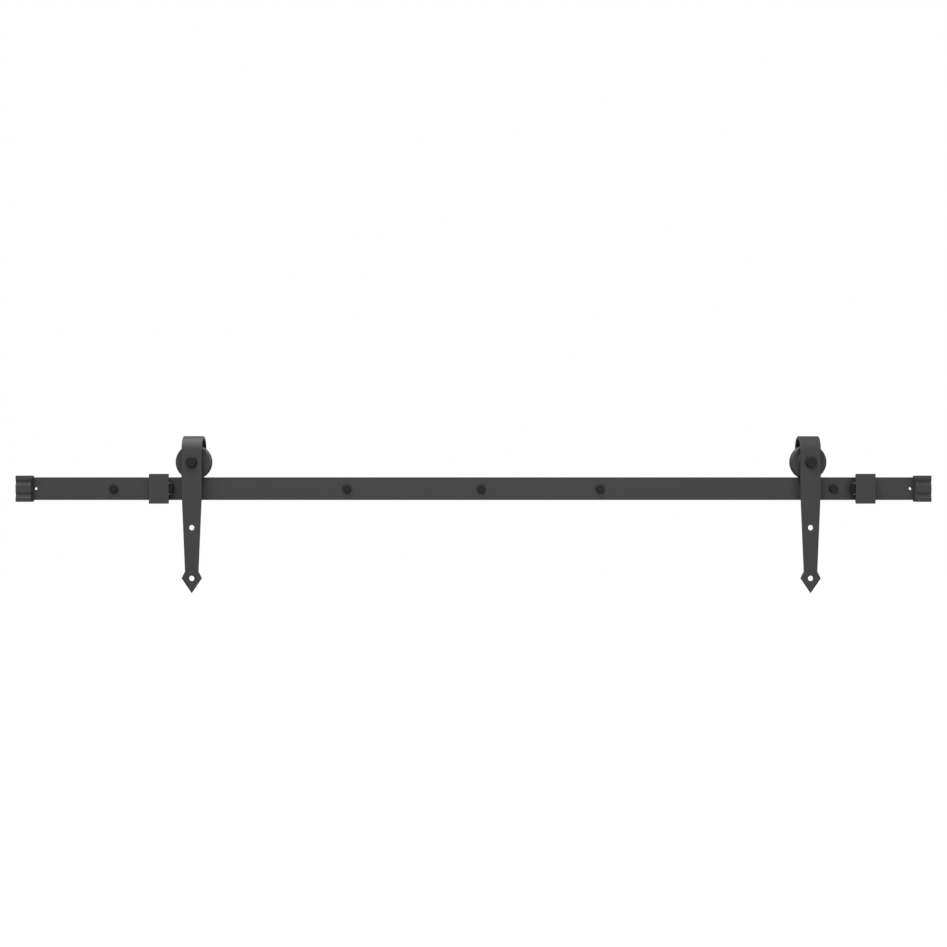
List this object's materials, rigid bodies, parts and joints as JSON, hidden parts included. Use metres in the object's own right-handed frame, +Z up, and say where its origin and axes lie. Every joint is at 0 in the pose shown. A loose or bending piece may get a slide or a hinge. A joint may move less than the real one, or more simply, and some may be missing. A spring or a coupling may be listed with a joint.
{
  "type": "barn door track",
  "caption": "Flat-bar sliding barn door track on stand-offs, with clamped stoppers, end caps and bent-strap hangers that roll along the rail on grooved wheels.",
  "frame": {"origin": "on the wall plane, at the rail's mid-length and on its centreline; the point lies on the middle stand-off's wall face, whose own centre is 10 mm along +X", "axes": "+X along the rail, to the right as seen from the room; +Y into the wall; +Z up"},
  "size_m": [1.2038, 0.0803, 0.2064],
  "materials": {
    "powder_coat": "fine-textured dark grey powder coat on steel, semi-matt",
    "black_oxide": "black oxide on steel, oiled satin",
    "bearing_steel": "ground bearing steel",
    "cage_nylon": "natural nylon",
    "bumper_rubber": "black rubber, matt",
    "cap_plastic": "dark grey moulded plastic, semi-matt"
  },
  "bodies": {
    "track": {"rail_bar": "powder_coat", "left_end_cap": "cap_plastic", "right_end_cap": "cap_plastic", "stand_off_1": "powder_coat", "stand_off_2": "powder_coat", "stand_off_3": "powder_coat", "stand_off_4": "powder_coat", "stand_off_5": "powder_coat", "lag_screw_1": "black_oxide", "lag_screw_2": "black_oxide", "lag_screw_3": "black_oxide", "lag_screw_4": "black_oxide", "lag_screw_5": "black_oxide"},
    "left_stopper": {"left_stopper_block": "powder_coat", "left_stopper_bumper": "bumper_rubber", "left_stopper_set_screw_inner": "black_oxide", "left_stopper_set_screw_outer": "black_oxide"},
    "right_stopper": {"right_stopper_block": "powder_coat", "right_stopper_bumper": "bumper_rubber", "right_stopper_set_screw_inner": "black_oxide", "right_stopper_set_screw_outer": "black_oxide"},
    "left_hanger": {"left_hanger_strap": "powder_coat", "left_axle_bolt": "black_oxide", "left_axle_nut": "black_oxide", "left_front_sleeve": "black_oxide", "left_rear_sleeve": "black_oxide", "left_bearing_inner_race": "bearing_steel"},
    "right_hanger": {"right_hanger_strap": "powder_coat", "right_axle_bolt": "black_oxide", "right_axle_nut": "black_oxide", "right_front_sleeve": "black_oxide", "right_rear_sleeve": "black_oxide", "right_bearing_inner_race": "bearing_steel"},
    "left_roller": {"left_wheel": "powder_coat", "left_bearing_outer_race": "bearing_steel", "left_bearing_front_shield": "bearing_steel", "left_bearing_rear_shield": "bearing_steel"},
    "right_roller": {"right_wheel": "powder_coat", "right_bearing_outer_race": "bearing_steel", "right_bearing_front_shield": "bearing_steel", "right_bearing_rear_shield": "bearing_steel"},
    "left_cage": {"left_bearing_ball_cage": "cage_nylon"},
    "right_cage": {"right_bearing_ball_cage": "cage_nylon"}
  },
  "joints": [
    {"name": "left_hanger_slide", "type": "slide", "parent": "track", "child": "left_hanger", "axis": [1, 0, 0], "range_m": [-0.0115, 0.346]},
    {"name": "left_wheel_spin", "type": "hinge", "parent": "left_hanger", "child": "left_roller", "pos_m": [-0.3695, -0.0275, 0.0351], "axis": [0, 1, 0], "continuous": true},
    {"name": "left_cage_spin", "type": "hinge", "parent": "left_hanger", "child": "left_cage", "pos_m": [-0.3695, -0.0275, 0.0351], "axis": [0, 1, 0], "continuous": true},
    {"name": "right_hanger_slide", "type": "slide", "parent": "track", "child": "right_hanger", "axis": [1, 0, 0], "range_m": [-0.4185, 0.0405]},
    {"name": "right_wheel_spin", "type": "hinge", "parent": "right_hanger", "child": "right_roller", "pos_m": [0.442, -0.0275, 0.0351], "axis": [0, 1, 0], "continuous": true},
    {"name": "right_cage_spin", "type": "hinge", "parent": "right_hanger", "child": "right_cage", "pos_m": [0.442, -0.0275, 0.0351], "axis": [0, 1, 0], "continuous": true},
    {"name": "left_stopper_slide", "type": "slide", "parent": "track", "child": "left_stopper", "axis": [1, 0, 0], "range_m": [-0.039, 0]},
    {"name": "right_stopper_slide", "type": "slide", "parent": "track", "child": "right_stopper", "axis": [1, 0, 0], "range_m": [0, 0.0545]}
  ],
  "couplings": [
    {"joint": "left_wheel_spin", "follows": "left_hanger_slide", "rad_per_m": 50},
    {"joint": "left_cage_spin", "follows": "left_hanger_slide", "rad_per_m": 31.5},
    {"joint": "right_wheel_spin", "follows": "right_hanger_slide", "rad_per_m": 50},
    {"joint": "right_cage_spin", "follows": "right_hanger_slide", "rad_per_m": 31.5}
  ]
}
